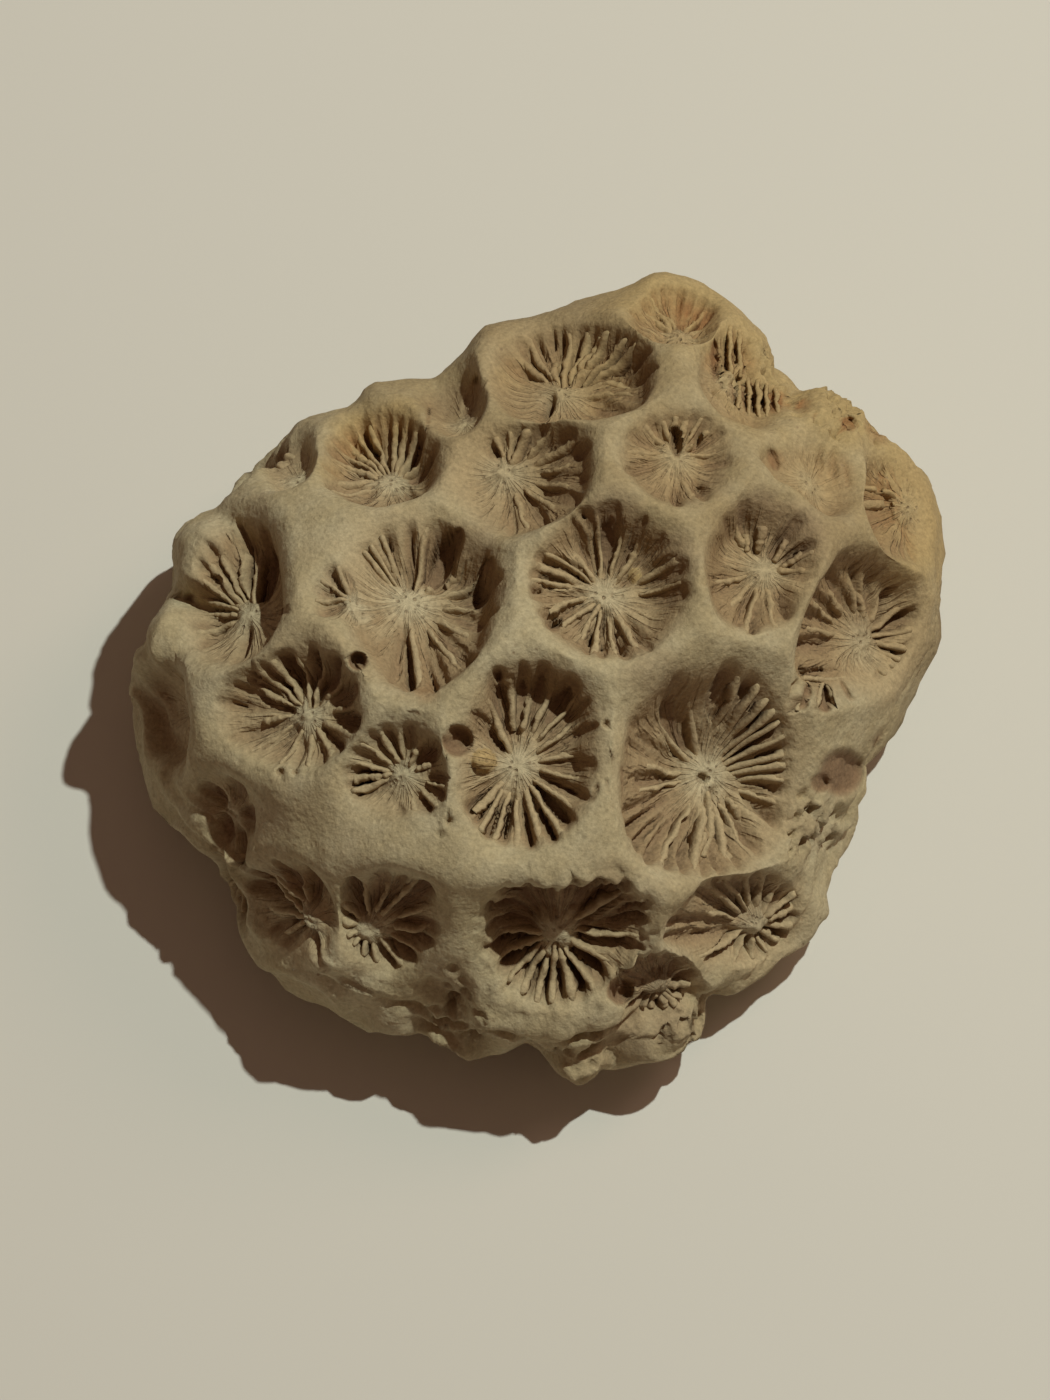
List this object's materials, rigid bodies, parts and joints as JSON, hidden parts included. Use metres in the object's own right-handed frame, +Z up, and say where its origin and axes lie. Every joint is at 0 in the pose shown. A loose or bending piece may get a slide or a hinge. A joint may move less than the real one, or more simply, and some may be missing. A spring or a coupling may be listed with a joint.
{
  "type": "fossil coral head",
  "caption": "Low domed head of worn fossil coral, covered in round cups with radiating septa and cut flat underneath so that it rests on its base.",
  "frame": {"origin": "middle of the flat cut that the head rests on, straight below the middle of the dome's rim", "axes": "+Z up out of the flat cut, +X across the growing face to its right, +Y away from the side that the growing face leans towards"},
  "size_m": [0.0499, 0.051, 0.0243],
  "materials": {
    "coral_limestone": "matt, worn and finely pitted"
  },
  "bodies": {
    "root": {"coral_head": "coral_limestone"}
  },
  "joints": []
}
